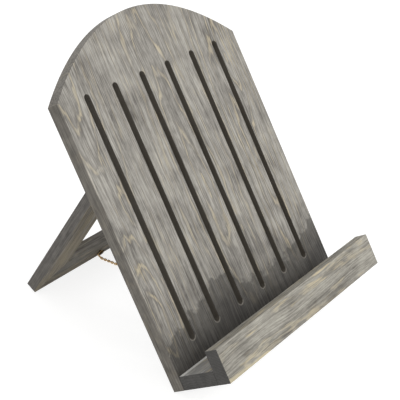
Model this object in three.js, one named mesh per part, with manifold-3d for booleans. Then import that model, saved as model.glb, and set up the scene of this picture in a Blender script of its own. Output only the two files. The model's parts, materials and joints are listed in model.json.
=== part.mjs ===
// Folding book stand in gray-washed softwood.
// An arched back board with six long slots carries a ledge for the book. A mitred frame leg
// swings on two small butt hinges behind it, and a fine brass chain ties the leg to the board.
//
// Lengths are millimetres. The board is drawn upright: its front face lies on y = 0, its back
// towards +y, its top towards +z. The leg hangs from its hinge pins in a group of its own.
// Both are then leaned back together, until the board and the leg's foot stand on z = 0.

import * as THREE from 'three';
import { mergeGeometries, mergeVertices } from 'three/addons/utils/BufferGeometryUtils.js';
import Module from 'manifold-3d';

const wasm = await Module();
wasm.setup();

// Back board
const boardWidth = 260;
const boardThickness = 13.3;
const shoulderHeight = 270.5;
const archRise = 56;
const archSteps = 40;

// Slots in the board
const slotCount = 6;
const slotSideMargin = 35.25;
const slotWidth = 7.1;
const slotBottomHeight = 36;
const slotTopDrop = 5;
const slotEndSteps = 8;

// Ledge: a shelf against the board and a lip along the front of the shelf
const shelfDepth = 41.4;
const shelfThickness = 13.3;
const lipThickness = 13.5;
const lipHeight = 31.8;

// Frame leg
const legSideInset = 38;
const legReach = 186.6;
const legMemberWidth = 32;
const legFixingInset = 16;
const legThickness = 12;
const legTopDrop = 2.6;
const openAngle = THREE.MathUtils.degToRad(63.5);

// Butt hinges between the board and the leg
const hingePinHeight = 192.1;
const hingeLength = 25;
const leafWidth = 14;
const leafThickness = 1;
const knuckleRadius = 2;
const hingePinRadius = 0.9;
const hingeScrewSpacing = 15;
const hingeScrewDrop = 8.5;

// Screws and dowels
const hingeScrew = { shankRadius: 1.1, headRadius: 2.2, headDepth: 1.1, length: 8, tipLength: 2 };
const ledgeScrew = { shankRadius: 1.75, headRadius: 3.5, headDepth: 2.6, length: 30, tipLength: 4 };
const ledgeScrewCount = 4;
const ledgeScrewEndMargin = 31;
const lipDowel = { radius: 3, length: 18, depthInLip: 8 };
const lipDowelCount = 3;
const lipDowelEndMargin = 40;
const mitreDowel = { radius: 2.5, length: 22 };

// Chain, and the two round-head screws and long end links that hold it
const chainScrew = { shankRadius: 1.2, headRadius: 4, headHeight: 1.6, depth: 8, tipLength: 2 };
const chainScrewHeight = 11;
const boardChainScrewOffset = 10;
const endLinkWireRadius = 0.45;
const endLinkInnerRadius = 1.5;
const linkWireRadius = 0.4;
const linkInnerWidth = 1.3;
const linkPitch = 4;
const linkBite = 0.12;
const linkSides = 5;
const linkEndSteps = 3;
const twistLinks = 2;
const dropRun = 3;

// Fits and small details
const seatGap = 0.3;
const pieceGap = 0.2;
const edgeEase = 0.25;
const cutOverrun = 2;
const screwSteps = 12;
const dowelSteps = 12;
const knuckleSteps = 20;

// Places that follow from the sizes above
const halfBoard = boardWidth / 2;
const slotPitch = (boardWidth - 2 * slotSideMargin) / (slotCount - 1);
const slotTopHeight = shoulderHeight - slotTopDrop;
const shelfBackY = -seatGap;
const shelfFrontY = shelfBackY - shelfDepth;
const lipBackY = shelfFrontY - seatGap;
const ledgeFixingHeight = shelfThickness / 2;
const ledgeScrewSpacing = (boardWidth - 2 * ledgeScrewEndMargin) / (ledgeScrewCount - 1);
const lipDowelSpacing = (boardWidth - 2 * lipDowelEndMargin) / (lipDowelCount - 1);
const legWidth = boardWidth - 2 * legSideInset;
const hingeCentreOffset = legWidth / 2 - legFixingInset;
const hingePinY = boardThickness + seatGap + knuckleRadius;
const leafInnerY = knuckleRadius - leafThickness;
const legFrontY = knuckleRadius + seatGap;
const legLength = legReach - legTopDrop;
const legMiddleHeight = -(legReach + legTopDrop) / 2;
const linkHalfWidth = linkInnerWidth / 2 + 2 * linkWireRadius;
const endLinkStandoff = linkHalfWidth + pieceGap;
const endLinkRadius = endLinkInnerRadius + endLinkWireRadius;
const endLinkReach = chainScrew.headRadius + linkHalfWidth + pieceGap;
const chainHeadStandoff = endLinkStandoff + endLinkWireRadius + seatGap;

const timber = (color) => new THREE.MeshStandardMaterial({ color, roughness: 0.8, metalness: 0 });
const boardTimber = timber(0x9d988f);
const ledgeTimber = timber(0xa19b8f);
const legTimber = timber(0x6f6b63);
const dowelTimber = timber(0xc3ab80);
const brass = new THREE.MeshStandardMaterial({ color: 0xb08d4a, roughness: 0.35, metalness: 1 });
const darkBrass = new THREE.MeshStandardMaterial({ color: 0x5b4526, roughness: 0.45, metalness: 1 });
const steel = new THREE.MeshStandardMaterial({ color: 0x9b9b98, roughness: 0.4, metalness: 1 });

// A closed geometry as a solid that can be cut and joined.
function toSolid(geometry) {
  const bare = geometry.clone();
  bare.deleteAttribute('normal');
  bare.deleteAttribute('uv');
  const merged = mergeVertices(bare);
  return new wasm.Manifold(new wasm.Mesh({
    numProp: 3,
    vertProperties: Float32Array.from(merged.attributes.position.array),
    triVerts: Uint32Array.from(merged.index.array),
  }));
}

function toGeometry(solid) {
  const mesh = solid.getMesh();
  const geometry = new THREE.BufferGeometry();
  geometry.setAttribute('position', new THREE.BufferAttribute(mesh.vertProperties, 3));
  geometry.setIndex(new THREE.BufferAttribute(mesh.triVerts, 1));
  geometry.computeVertexNormals();
  return geometry;
}

function cut(geometry, tools) {
  const solid = tools.reduce((rest, tool) => rest.subtract(toSolid(tool)), toSolid(geometry));
  return toGeometry(solid);
}

// Pieces that overlap, joined into one. Only the outer skin is kept, so that no pinhole is
// left closed in where round wires or barrels meet.
function join(geometries) {
  const [first, ...others] = geometries.map(toSolid);
  const whole = others.reduce((joined, solid) => joined.add(solid), first);
  const skins = whole.decompose().filter((body) => body.volume() > 0);
  return toGeometry(skins.reduce((joined, skin) => joined.add(skin)));
}

function placeAt(x, y, z, rotation = new THREE.Euler()) {
  return new THREE.Matrix4().compose(
    new THREE.Vector3(x, y, z),
    new THREE.Quaternion().setFromEuler(rotation),
    new THREE.Vector3(1, 1, 1),
  );
}

// Copies of a geometry as one geometry, for cutting a row of holes.
function copiesAt(geometry, places) {
  return mergeGeometries(places.map((place) => geometry.clone().applyMatrix4(place)));
}

function addPiece(parent, name, geometry, material, place = new THREE.Matrix4()) {
  const mesh = new THREE.Mesh(geometry, material);
  mesh.name = name;
  mesh.applyMatrix4(place);
  parent.add(mesh);
}

function addRow(parent, name, geometry, material, places) {
  places.forEach((place, i) => addPiece(parent, `${name}_${i + 1}`, geometry, material, place));
}

// Places spaced evenly about zero.
function spread(count, spacing) {
  return Array.from({ length: count }, (_, i) => (i - (count - 1) / 2) * spacing);
}

// Points along an arc, both ends included.
function arcPoints(centreX, centreY, radius, fromAngle, toAngle, steps) {
  return Array.from({ length: steps + 1 }, (_, i) => {
    const angle = fromAngle + ((toAngle - fromAngle) * i) / steps;
    return new THREE.Vector2(
      centreX + radius * Math.cos(angle),
      centreY + radius * Math.sin(angle),
    );
  });
}

// A board cut to an outline in x and z, with eased edges, from y = 0 back to its thickness.
function plank(shape, thickness) {
  const geometry = new THREE.ExtrudeGeometry(shape, {
    depth: thickness - 2 * edgeEase,
    curveSegments: archSteps,
    bevelEnabled: true,
    bevelThickness: edgeEase,
    bevelSize: edgeEase,
    bevelOffset: -edgeEase,
    bevelSegments: 1,
    steps: 1,
  });
  geometry.rotateX(Math.PI / 2);
  geometry.translate(0, thickness - edgeEase, 0);
  return geometry;
}

// A rectangle with eased corners, centred on x = 0 and standing on y = 0.
function easedRectangle(width, height) {
  const half = width / 2;
  return new THREE.Shape([
    new THREE.Vector2(-half + edgeEase, 0),
    new THREE.Vector2(half - edgeEase, 0),
    new THREE.Vector2(half, edgeEase),
    new THREE.Vector2(half, height - edgeEase),
    new THREE.Vector2(half - edgeEase, height),
    new THREE.Vector2(-half + edgeEase, height),
    new THREE.Vector2(-half, height - edgeEase),
    new THREE.Vector2(-half, edgeEase),
  ]);
}

// A round pin or dowel along y, centred on the origin.
function roundRod(radius, length) {
  return new THREE.CylinderGeometry(radius, radius, length, dowelSteps);
}

// A countersunk wood screw: its flat head lies on y = 0 and its tip points to -y.
function countersunkScrew(size) {
  return new THREE.LatheGeometry([
    new THREE.Vector2(0, -size.length),
    new THREE.Vector2(size.shankRadius, size.tipLength - size.length),
    new THREE.Vector2(size.shankRadius, -size.headDepth),
    new THREE.Vector2(size.headRadius, 0),
    new THREE.Vector2(0, 0),
  ], screwSteps);
}

// The hole for that screw, open above its head.
function countersunkHole(size) {
  return new THREE.LatheGeometry([
    new THREE.Vector2(0, -size.length - pieceGap),
    new THREE.Vector2(size.shankRadius + pieceGap, size.tipLength - size.length),
    new THREE.Vector2(size.shankRadius + pieceGap, -size.headDepth),
    new THREE.Vector2(size.headRadius + pieceGap, 0),
    new THREE.Vector2(size.headRadius + pieceGap, cutOverrun),
    new THREE.Vector2(0, cutOverrun),
  ], screwSteps);
}

// The chain's screw: the wood's face is y = 0, the head stands off it and the tip points to -y.
function roundHeadScrew(size, standoff) {
  const crownShares = [[0.96, 0.35], [0.8, 0.72], [0.45, 0.95]];
  return new THREE.LatheGeometry([
    new THREE.Vector2(0, -size.depth),
    new THREE.Vector2(size.shankRadius, size.tipLength - size.depth),
    new THREE.Vector2(size.shankRadius, standoff),
    new THREE.Vector2(size.headRadius, standoff),
    ...crownShares.map(([radiusShare, heightShare]) => new THREE.Vector2(
      size.headRadius * radiusShare,
      standoff + size.headHeight * heightShare,
    )),
    new THREE.Vector2(0, standoff + size.headHeight),
  ], screwSteps);
}

function pilotHole(size) {
  const hole = roundRod(size.shankRadius + pieceGap, size.depth + pieceGap + cutOverrun);
  hole.translate(0, (cutOverrun - size.depth - pieceGap) / 2, 0);
  return hole;
}

// A closed link of round wire in the x-z plane, with straight sides along x and round ends.
function wireLink(wireRadius, straight, endRadius, sides, endSteps) {
  const quarter = Math.PI / 2;
  const centres = [
    ...arcPoints(straight / 2, 0, endRadius, -quarter, quarter, endSteps),
    ...arcPoints(-straight / 2, 0, endRadius, quarter, 3 * quarter, endSteps),
  ];
  const count = centres.length;
  const positions = [];
  const index = [];
  centres.forEach((centre, i) => {
    const next = (i + 1) % count;
    const along = centres[next].clone().sub(centres[(i + count - 1) % count]).normalize();
    for (let side = 0; side < sides; side += 1) {
      const angle = Math.PI + (2 * Math.PI * side) / sides;
      const out = wireRadius * Math.cos(angle);
      positions.push(
        centre.x + out * along.y,
        wireRadius * Math.sin(angle),
        centre.y - out * along.x,
      );
      const nextSide = (side + 1) % sides;
      const [a, b] = [i * sides + side, i * sides + nextSide];
      const [c, d] = [next * sides + nextSide, next * sides + side];
      index.push(a, b, c, a, c, d);
    }
  });
  const geometry = new THREE.BufferGeometry();
  geometry.setAttribute('position', new THREE.Float32BufferAttribute(positions, 3));
  geometry.setIndex(index);
  geometry.computeVertexNormals();
  return geometry;
}

// Where the screws go: in the board's frame for the ledge, the board's leaves and the board's
// end of the chain, and in the leg's frame for the others. A half turn points a tip to +y.
const halfTurn = new THREE.Euler(0, 0, Math.PI);
const hingeCentres = [-hingeCentreOffset, hingeCentreOffset];
const hingeScrewXs = hingeCentres.flatMap((x) => spread(2, hingeScrewSpacing).map((dx) => x + dx));
const ledgeScrewPlaces = spread(ledgeScrewCount, ledgeScrewSpacing)
  .map((x) => placeAt(x, boardThickness, ledgeFixingHeight));
const boardLeafScrewPlaces = hingeScrewXs
  .map((x) => placeAt(x, hingePinY - leafInnerY, hingePinHeight - hingeScrewDrop));
const legLeafScrewPlaces = hingeScrewXs
  .map((x) => placeAt(x, leafInnerY, -hingeScrewDrop, halfTurn));
const boardChainPlace = placeAt(boardChainScrewOffset, boardThickness, chainScrewHeight);
const legChainPlace = placeAt(0, legFrontY, chainScrewHeight - legReach, halfTurn);

// The board's outline: straight sides under an arch, with a row of round-ended slots. The arch
// is flatter towards the shoulders than a circle, the curve that a bent batten takes.
function boardShape() {
  const shape = new THREE.Shape();
  shape.moveTo(-halfBoard, 0);
  shape.lineTo(halfBoard, 0);
  shape.lineTo(halfBoard, shoulderHeight);
  shape.quadraticCurveTo(0, shoulderHeight + 2 * archRise, -halfBoard, shoulderHeight);
  const radius = slotWidth / 2;
  shape.holes = spread(slotCount, slotPitch).map((x) => new THREE.Path([
    ...arcPoints(x, slotTopHeight, radius, 0, Math.PI, slotEndSteps),
    ...arcPoints(x, slotBottomHeight, radius, Math.PI, 2 * Math.PI, slotEndSteps),
  ]));
  return shape;
}

function addBoard(parent) {
  const board = cut(plank(boardShape(), boardThickness), [
    copiesAt(countersunkHole(ledgeScrew), ledgeScrewPlaces),
    copiesAt(countersunkHole(hingeScrew), boardLeafScrewPlaces),
    copiesAt(pilotHole(chainScrew), [boardChainPlace]),
  ]);
  addPiece(parent, 'back_board', board, boardTimber);
}

// Ledge: the shelf is screwed on from behind the board, the lip dowelled to its front edge.
function addLedge(parent) {
  const dowelY = lipBackY - lipDowel.depthInLip + lipDowel.length / 2;
  const dowelPlaces = spread(lipDowelCount, lipDowelSpacing)
    .map((x) => placeAt(x, dowelY, ledgeFixingHeight));
  const hole = roundRod(lipDowel.radius + pieceGap, lipDowel.length + 2 * pieceGap);
  const dowelHoles = copiesAt(hole, dowelPlaces);
  const screwHoles = copiesAt(countersunkHole(ledgeScrew), ledgeScrewPlaces);
  const shelf = plank(easedRectangle(boardWidth, shelfThickness), shelfDepth);
  shelf.translate(0, shelfFrontY, 0);
  const lip = plank(easedRectangle(boardWidth, lipHeight), lipThickness);
  lip.translate(0, lipBackY - lipThickness, 0);
  addPiece(parent, 'ledge_shelf', cut(shelf, [screwHoles, dowelHoles]), ledgeTimber);
  addPiece(parent, 'ledge_lip', cut(lip, [dowelHoles]), ledgeTimber);
  addRow(parent, 'ledge_screw', countersunkScrew(ledgeScrew), steel, ledgeScrewPlaces);
  addRow(parent, 'lip_dowel', roundRod(lipDowel.radius, lipDowel.length), dowelTimber, dowelPlaces);
}

// One bar of the leg frame along x: its outer edge lies on z = 0, its thickness is centred on
// y = 0, and both ends are mitred at 45 degrees.
function mitredBar(outerLength) {
  const section = easedRectangle(legThickness, legMemberWidth);
  const bar = new THREE.ExtrudeGeometry(section, { depth: outerLength, bevelEnabled: false });
  bar.translate(0, 0, -outerLength / 2);
  bar.rotateX(Math.PI / 2);
  bar.rotateZ(Math.PI / 2);
  const size = 2 * (legMemberWidth + cutOverrun);
  const ends = [-1, 1].map((side) => {
    const waste = new THREE.BoxGeometry(size, 2 * size, 2 * size);
    waste.translate((side * size) / 2, 0, 0);
    waste.rotateY((side * -Math.PI) / 4);
    waste.translate(side * (outerLength / 2 - seatGap / Math.SQRT2), 0, 0);
    return waste;
  });
  return cut(bar, ends);
}

// Leg: two stiles and two rails, with a hidden dowel through each mitre. The dowels and the
// hinges lie equally far in from the frame's outer edges, whatever the width of the bars.
function addLeg(parent) {
  const sideX = legWidth / 2;
  const middleY = legFrontY + legThickness / 2;
  const inset = legFixingInset;
  const corners = [
    ['top_left', -1, 1],
    ['top_right', 1, 1],
    ['foot_left', -1, -1],
    ['foot_right', 1, -1],
  ].map(([name, signX, signZ]) => [name, placeAt(
    signX * (sideX - inset),
    middleY,
    legMiddleHeight + signZ * (legLength / 2 - inset),
    new THREE.Euler(0, (signX * signZ * Math.PI) / 4, Math.PI / 2, 'YXZ'),
  )]);
  const hole = roundRod(mitreDowel.radius + pieceGap, mitreDowel.length + 2 * pieceGap);
  const holes = [
    copiesAt(hole, corners.map(([, place]) => place)),
    copiesAt(countersunkHole(hingeScrew), legLeafScrewPlaces),
    copiesAt(pilotHole(chainScrew), [legChainPlace]),
  ];
  const bars = [
    ['leg_foot_rail', legWidth, 0, 0, -legReach],
    ['leg_top_rail', legWidth, Math.PI, 0, -legTopDrop],
    ['leg_stile_left', legLength, Math.PI / 2, -sideX, legMiddleHeight],
    ['leg_stile_right', legLength, -Math.PI / 2, sideX, legMiddleHeight],
  ];
  for (const [name, length, turn, x, z] of bars) {
    const bar = mitredBar(length);
    bar.rotateY(turn);
    bar.translate(x, middleY, z);
    addPiece(parent, name, cut(bar, holes), legTimber);
  }
  const dowel = roundRod(mitreDowel.radius, mitreDowel.length);
  for (const [name, place] of corners) {
    addPiece(parent, `mitre_dowel_${name}`, dowel, dowelTimber, place);
  }
}

// A leaf with its knuckles round the pin's axis, which is the x axis. The plate hangs below
// it, on the side that faces the wood: -1 for the board, 1 for the leg.
function hingeLeaf(side, knuckleSpans, freeSpans) {
  const barrel = ([from, to], radius) => {
    const tube = new THREE.CylinderGeometry(radius, radius, to - from, knuckleSteps);
    tube.rotateZ(Math.PI / 2);
    tube.translate((from + to) / 2, 0, 0);
    return tube;
  };
  const plate = new THREE.BoxGeometry(hingeLength, leafThickness, leafWidth);
  plate.translate(0, side * (leafInnerY + leafThickness / 2), -leafWidth / 2);
  const notches = freeSpans.map((span) => barrel(span, knuckleRadius + pieceGap));
  const leaf = join([
    cut(plate, notches),
    ...knuckleSpans.map((span) => barrel(span, knuckleRadius)),
  ]);
  const screwHoles = copiesAt(countersunkHole(hingeScrew), spread(2, hingeScrewSpacing)
    .map((x) => placeAt(
      x,
      side * leafInnerY,
      -hingeScrewDrop,
      side > 0 ? halfTurn : new THREE.Euler(),
    )));
  const bore = barrel([-hingeLength, hingeLength], hingePinRadius + pieceGap);
  return cut(leaf, [bore, screwHoles]);
}

function addHinges(boardParent, legParent) {
  const end = hingeLength / 2;
  const middle = hingeLength / 6;
  const outerSpans = [[-end, -middle - pieceGap], [middle + pieceGap, end]];
  const outerFree = [[-middle - pieceGap, middle + pieceGap]];
  const middleSpans = [[-middle, middle]];
  const middleFree = [[-end - cutOverrun, -middle], [middle, end + cutOverrun]];
  const boardLeaf = hingeLeaf(-1, outerSpans, outerFree);
  const legLeaf = hingeLeaf(1, middleSpans, middleFree);
  const pin = roundRod(hingePinRadius, hingeLength);
  pin.rotateZ(Math.PI / 2);
  hingeCentres.forEach((x) => {
    const side = x < 0 ? 'left' : 'right';
    const onBoard = placeAt(x, hingePinY, hingePinHeight);
    addPiece(boardParent, `hinge_${side}_board_leaf`, boardLeaf, brass, onBoard);
    addPiece(boardParent, `hinge_${side}_pin`, pin, brass, onBoard);
    addPiece(legParent, `hinge_${side}_leg_leaf`, legLeaf, brass, placeAt(x, 0, 0));
  });
  const screw = countersunkScrew(hingeScrew);
  addRow(boardParent, 'board_leaf_screw', screw, brass, boardLeafScrewPlaces);
  addRow(legParent, 'leg_leaf_screw', screw, brass, legLeafScrewPlaces);
}

// Chain fixings: at each end a round-head screw holds a long end link off the wood, far
// enough for the first link of the chain to turn in it.
function addChainFixings(boardParent, legParent) {
  const screw = roundHeadScrew(chainScrew, chainHeadStandoff);
  const straight = endLinkReach - endLinkRadius;
  const endLink = wireLink(
    endLinkWireRadius,
    straight,
    endLinkRadius,
    linkSides + 1,
    2 * linkEndSteps,
  );
  endLink.translate(straight / 2, endLinkStandoff, 0);
  endLink.rotateY(Math.PI / 2);
  addPiece(boardParent, 'chain_screw_board', screw, darkBrass, boardChainPlace);
  addPiece(boardParent, 'chain_end_link_board', endLink, brass, boardChainPlace);
  addPiece(legParent, 'chain_screw_leg', screw, darkBrass, legChainPlace);
  addPiece(legParent, 'chain_end_link_leg', endLink, brass, legChainPlace);
}

// The middle of the wire at an end link's free end, in the frame of the whole stand.
function endLinkTip(parent, screwPlace) {
  const tip = new THREE.Vector3(0, endLinkStandoff, -endLinkReach);
  return parent.localToWorld(tip.applyMatrix4(screwPlace));
}

// The line that the slack chain takes: down to the table, along it and up to the board. It
// starts and ends just beyond the wires of the end links, so that its links hold them.
function chainLine(legTip, boardTip) {
  const restHeight = (linkHalfWidth - linkWireRadius) * Math.SQRT1_2 + linkWireRadius + pieceGap / 2;
  const forward = Math.sign(boardTip.y - legTip.y);
  const onTable = (tip, run) => new THREE.Vector3(tip.x, tip.y + run * forward, restHeight);
  const landing = onTable(legTip, dropRun);
  const lifting = onTable(boardTip, -dropRun);
  const beyond = (tip, towards) => tip.clone()
    .sub(towards)
    .setLength(endLinkWireRadius + pieceGap)
    .add(tip);
  const tableRun = landing.distanceTo(lifting);
  return new THREE.CatmullRomCurve3([
    beyond(legTip, landing),
    landing,
    landing.clone().lerp(lifting, linkPitch / tableRun),
    lifting.clone().lerp(landing, linkPitch / tableRun),
    lifting,
    beyond(boardTip, lifting),
  ]);
}

// Chain: links from bearing to bearing, each turned a quarter from the last. The first and
// last stand square to the end links, and those between lie on their edges on the table.
// Each link bears on the next, and they are joined there.
function addChain(parent, line) {
  const count = 2 * Math.round(line.getLength() / linkPitch / 2) + 1;
  const bearings = line.getSpacedPoints(count);
  const spans = bearings.slice(1).map((bearing, i) => bearing.clone().sub(bearings[i]));
  const innerLength = Math.min(...spans.map((span) => span.length())) - linkBite;
  const link = wireLink(
    linkWireRadius,
    innerLength - linkInnerWidth,
    linkInnerWidth / 2 + linkWireRadius,
    linkSides,
    linkEndSteps,
  );
  const links = spans.map((span, i) => {
    const along = span.clone().normalize();
    const across = new THREE.Vector3(1, 0, 0).addScaledVector(along, -along.x).normalize();
    const twistShare = Math.min(1, i / twistLinks, (count - 1 - i) / twistLinks);
    const roll = (twistShare * Math.PI) / 4 + (i % 2) * (Math.PI / 2);
    const normal = across.applyAxisAngle(along, roll);
    const place = new THREE.Matrix4().makeBasis(
      along,
      normal,
      new THREE.Vector3().crossVectors(along, normal),
    );
    place.setPosition(bearings[i].clone().lerp(bearings[i + 1], 1 / 2));
    return link.clone().applyMatrix4(place);
  });
  addPiece(parent, 'limit_chain', join(links), brass);
}

const stand = new THREE.Group();
const board = new THREE.Group();
const leg = new THREE.Group();
stand.add(board);
board.add(leg);
leg.position.set(0, hingePinY, hingePinHeight);
leg.rotation.x = openAngle;

addBoard(board);
addLedge(board);
addLeg(leg);
addHinges(board, leg);
addChainFixings(board, leg);

// Lean the stand until the eased edges under the board and the leg's foot are level.
const boardFootY = boardThickness - edgeEase;
const legFoot = new THREE.Vector3(0, legFrontY + edgeEase, -legReach)
  .applyAxisAngle(new THREE.Vector3(1, 0, 0), openAngle)
  .add(leg.position);
const leanAngle = Math.atan2(legFoot.z, legFoot.y - boardFootY);
board.rotation.x = -leanAngle;
board.position.z = boardFootY * Math.sin(leanAngle);

// Centre the stand front to back over the origin.
stand.updateMatrixWorld(true);
const extent = new THREE.Box3().setFromObject(stand, true);
board.position.y = -(extent.min.y + extent.max.y) / 2;
stand.updateMatrixWorld(true);

addChain(stand, chainLine(endLinkTip(leg, legChainPlace), endLinkTip(board, boardChainPlace)));

export default stand;
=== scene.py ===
"""Folding book stand in gray-washed softwood: its finishes, fixings, chain, camera and light.

The board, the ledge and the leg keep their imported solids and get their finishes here. The
screws and the chain are made again with drives and round wire, in the same places.
Lengths are metres unless a name or a comment says millimetres.
"""

import json
import logging
import math
from dataclasses import astuple, dataclass
from enum import Enum

import bpy
from mathutils import Euler, Matrix, Vector

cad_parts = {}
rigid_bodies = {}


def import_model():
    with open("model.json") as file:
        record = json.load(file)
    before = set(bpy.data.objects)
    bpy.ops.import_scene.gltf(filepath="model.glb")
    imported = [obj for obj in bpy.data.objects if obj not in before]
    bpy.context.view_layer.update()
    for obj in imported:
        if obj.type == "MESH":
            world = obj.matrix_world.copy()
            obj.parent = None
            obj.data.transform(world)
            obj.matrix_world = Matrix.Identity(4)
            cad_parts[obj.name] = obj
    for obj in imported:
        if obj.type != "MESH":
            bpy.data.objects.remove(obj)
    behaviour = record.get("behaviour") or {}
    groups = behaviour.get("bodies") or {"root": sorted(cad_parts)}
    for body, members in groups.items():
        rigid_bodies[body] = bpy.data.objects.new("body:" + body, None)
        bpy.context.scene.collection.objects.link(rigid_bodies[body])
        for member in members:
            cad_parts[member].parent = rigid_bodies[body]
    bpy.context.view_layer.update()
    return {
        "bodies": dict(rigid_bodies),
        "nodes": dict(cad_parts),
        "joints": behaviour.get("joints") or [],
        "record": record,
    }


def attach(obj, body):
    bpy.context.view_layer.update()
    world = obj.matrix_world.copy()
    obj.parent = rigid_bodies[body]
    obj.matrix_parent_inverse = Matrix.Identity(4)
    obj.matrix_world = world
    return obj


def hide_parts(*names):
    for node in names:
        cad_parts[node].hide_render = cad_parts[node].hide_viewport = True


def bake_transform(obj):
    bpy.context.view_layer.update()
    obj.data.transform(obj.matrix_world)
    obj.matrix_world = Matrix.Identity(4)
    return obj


Tree = bpy.types.NodeTree
Node = bpy.types.Node
Socket = bpy.types.NodeSocket
Finish = bpy.types.Material
Piece = bpy.types.Object
Colour = tuple[float, float, float, float]

LOG = logging.getLogger("book_stand")
MM = 0.001
OPEN_DEG = 63.5
LEAN = math.radians(-33.065831133515076)
LEG_TURN = math.radians(OPEN_DEG) + LEAN
BOARD_ORIGIN = Vector((0, -0.08911674631055826, 0.007120109788622329))
HINGE_PIN = Vector((0, 0.02876694234009, 0.15959701279402))

# The board in its own frame, in millimetres.
HALF_BOARD = 130.0
BOARD_THICK = 13.3
SHOULDER = 270.5
ARCH_RISE = 56.0
HALF_SLOT_PITCH = 18.95
SLOT_FOOT = 36.0

SIDES = ("left", "right")
NO_SHIFT = NO_TURN = (0, 0, 0)
MIX, RANGE = "ShaderNodeMix", "ShaderNodeMapRange"
MAPPING, NOISE, RAMP = "ShaderNodeMapping", "ShaderNodeTexNoise", "ShaderNodeValToRGB"
VECTOR_MATH, COMBINE = "ShaderNodeVectorMath", "ShaderNodeCombineXYZ"
SWITCH, BOOLEAN, CUBE = "GeometryNodeSwitch", "GeometryNodeMeshBoolean", "GeometryNodeMeshCube"
CIRCLE, ON_POINTS = "GeometryNodeCurvePrimitiveCircle", "GeometryNodeInstanceOnPoints"


class Grain(Enum):
    """Which way the fibres of a bar run, in the frame of the sub-assembly it belongs to."""

    UPRIGHT = "upright"
    SIDEWAYS = "sideways"


class Do(Enum):
    """What a Math node does with its values."""

    ADD, SUBTRACT, MULTIPLY, MULTIPLY_ADD, MODULO, FRACT = range(6)
    MINIMUM, MAXIMUM, SMOOTH_MIN, ABSOLUTE, SIGN, PINGPONG = range(6, 12)
    LESS_THAN, GREATER_THAN, COMPARE = range(12, 15)


class Mark(Enum):
    """What a piece of wood bears beside its wash and its sawn sides."""

    ARCH = "sawn arch"
    # Partly the walls' own darker wash, partly painted shade deep in the narrow slots.
    SLOTS = "dark slot walls"
    # Partly a dark stain, partly painted shade in the corner above the ledge.
    STAIN = "stain above the ledge"
    RIMS = "pale rims at the slots' feet"
    WORN_FOOT = "worn lower edge"
    # A painted highlight along the back of the shelf's top.
    RUBBED_STRIP = "strip rubbed by the book"
    WIPED_FRONT = "front wiped nearly dry"
    RUBBED_ARRIS = "rubbed left arris"


class Place(Enum):
    """The two turned frames of the stand, each as its origin and its turn about x."""

    BOARD = (tuple(BOARD_ORIGIN), LEAN)
    LEG = (tuple(HINGE_PIN), LEG_TURN)

    @property
    def body(self) -> str:
        """The body that this frame moves with."""
        return self.name.lower()

    @property
    def screw_turn(self) -> Euler:
        """The turn of a screw driven forwards into the board, or backwards into the leg."""
        quarter = -math.pi / 2 if self is Place.BOARD else math.pi / 2
        return Euler((self.value[1] + quarter, 0, 0))

    def point(self, x: float, y: float, z: float) -> Vector:
        """Bring a point from this frame, in millimetres, to the row frame.

        Args:
            x: Its place from side to side.
            y: Its place from front to back.
            z: Its height along the board or the leg.

        Returns:
            The point.
        """
        origin, turn = self.value
        matrix = Matrix.Translation(origin) @ Matrix.Rotation(turn, 4, "X")
        return matrix @ (Vector((x, y, z)) * MM)


def linear(hex_colour: str) -> Colour:
    """Turn an sRGB hex colour to linear values.

    Args:
        hex_colour: The colour, such as "#A09D96".

    Returns:
        Linear red, green, blue and an alpha of one.
    """
    shares = [int(hex_colour[i : i + 2], 16) / 255 for i in (1, 3, 5)]
    red, green, blue = (
        s / 12.92 if s <= 0.04045 else ((s + 0.055) / 1.055) ** 2.4 for s in shares
    )
    return red, green, blue, 1.0


def put(
    tree: Tree,
    kind: str | Do,
    *values: object,
    named: dict[str, object] | None = None,
    **settings: str,
) -> Node:
    """Add a node with its settings, its socket values and its links.

    A value is a constant, an output socket to link from, a node, whose first output in use
    is linked, or a list of nodes for a socket that takes several.

    Args:
        tree: The node tree it goes into.
        kind: The node's type name, or what a Math node does.
        values: What its input sockets in use get, in their order.
        named: What other input sockets get, by name.
        settings: Values for the node's own properties.

    Returns:
        The new node.
    """
    if isinstance(kind, Do):
        kind, settings = "ShaderNodeMath", {"operation": kind.name}
    node = tree.nodes.new(kind)
    for name, value in settings.items():
        setattr(node, name, value)
    given = list(zip([socket for socket in node.inputs if socket.enabled], values))
    given += [(node.inputs[name], value) for name, value in (named or {}).items()]
    for socket, value in given:
        for source in value if isinstance(value, list) else [value]:
            if isinstance(source, Node):
                source = next(output for output in source.outputs if output.enabled)
            if isinstance(source, Socket):
                tree.links.new(source, socket)
            else:
                socket.default_value = source
    return node


def shade_ramp(ramp: Node, *stops: tuple[float, float]) -> Node:
    """Set a colour ramp to gray levels.

    Args:
        ramp: The colour ramp node.
        stops: Positions and gray levels, in order along the ramp.

    Returns:
        The same node.
    """
    elements = ramp.color_ramp.elements
    while len(elements) < len(stops):
        elements.new(1.0)
    for element, (position, level) in zip(elements, stops):
        element.position = position
        element.color = (level, level, level, 1.0)
    return ramp


def fresh_material(name: str) -> tuple[Finish, Tree]:
    """Make an empty node material.

    Args:
        name: The material's name.

    Returns:
        The material and its node tree, with nothing in it.
    """
    material = bpy.data.materials.new(name)
    material.use_nodes = True
    material.node_tree.nodes.clear()
    return material, material.node_tree


def tinted(
    tree: Tree, colour: Node, tone: str | Node, strength: float, *masks: Node | Socket
) -> Node:
    """Take a colour towards a tone, as far as a strength and some masks allow.

    Args:
        tree: The material's tree.
        colour: The colour.
        tone: The tone, as a hex colour or a node.
        strength: The tone's share where every mask is one.
        masks: Patterns from zero to one, which are multiplied.

    Returns:
        The mixed colour.
    """
    share = masks[0]
    for factor in (*masks[1:], strength):
        share = put(tree, Do.MULTIPLY, share, factor)
    goal = linear(tone) if isinstance(tone, str) else tone
    return put(tree, MIX, share, colour, goal, data_type="RGBA")


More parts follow.
